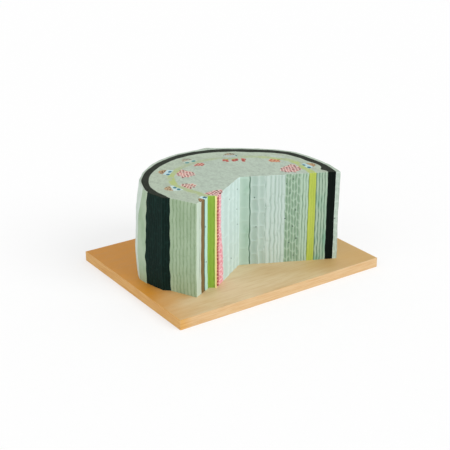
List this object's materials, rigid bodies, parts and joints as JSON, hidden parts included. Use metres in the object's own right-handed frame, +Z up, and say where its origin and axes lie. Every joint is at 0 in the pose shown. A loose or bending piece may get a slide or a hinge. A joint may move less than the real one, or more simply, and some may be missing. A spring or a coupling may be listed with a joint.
{
  "type": "plant stem structure model",
  "caption": "Free-standing cut-away disc of a dicot stem on a rectangular board, its tissues shown as separate coloured layers and bundles on the top and the cut faces.",
  "frame": {"origin": "middle of the baseboard's underside, on the surface that the model stands on", "axes": "+Z up, +X along the board's long side to the right, +Y to the back; the notch of the stem opens towards -Y"},
  "size_m": [0.43, 0.33, 0.188],
  "materials": {
    "board_laminate": "satin wood-grain laminate",
    "edge_banding": "satin wood-grain edging",
    "epidermis": "matt painted casting",
    "collenchyma": "dark painted casting with a faint sheen",
    "cortex": "matt painted casting",
    "cambium": "matt painted casting",
    "pith": "matt painted casting",
    "xylem": "matt painted casting, red cell walls on pale pink",
    "phloem": "matt painted casting",
    "fibre_cap": "matt painted casting",
    "plug_wood": "plain turned hardwood",
    "screw_steel": "bright zinc plating"
  },
  "bodies": {
    "root": {"baseboard": "board_laminate", "band_front": "edge_banding", "band_back": "edge_banding", "band_left": "edge_banding", "band_right": "edge_banding", "epidermis": "epidermis", "collenchyma": "collenchyma", "cortex": "cortex", "cambium": "cambium", "pith": "pith", "anchor_plugs": "plug_wood", "fixing_screws": "screw_steel", "xylem_1": "xylem", "phloem_1": "phloem", "fibre_cap_1": "fibre_cap", "xylem_2": "xylem", "phloem_2": "phloem", "fibre_cap_2": "fibre_cap", "xylem_3": "xylem", "phloem_3": "phloem", "fibre_cap_3": "fibre_cap", "xylem_4": "xylem", "phloem_4": "phloem", "fibre_cap_4": "fibre_cap", "xylem_5": "xylem", "phloem_5": "phloem", "fibre_cap_5": "fibre_cap", "xylem_6": "xylem", "phloem_6": "phloem", "fibre_cap_6": "fibre_cap", "xylem_7": "xylem", "phloem_7": "phloem", "fibre_cap_7": "fibre_cap"}
  },
  "joints": []
}
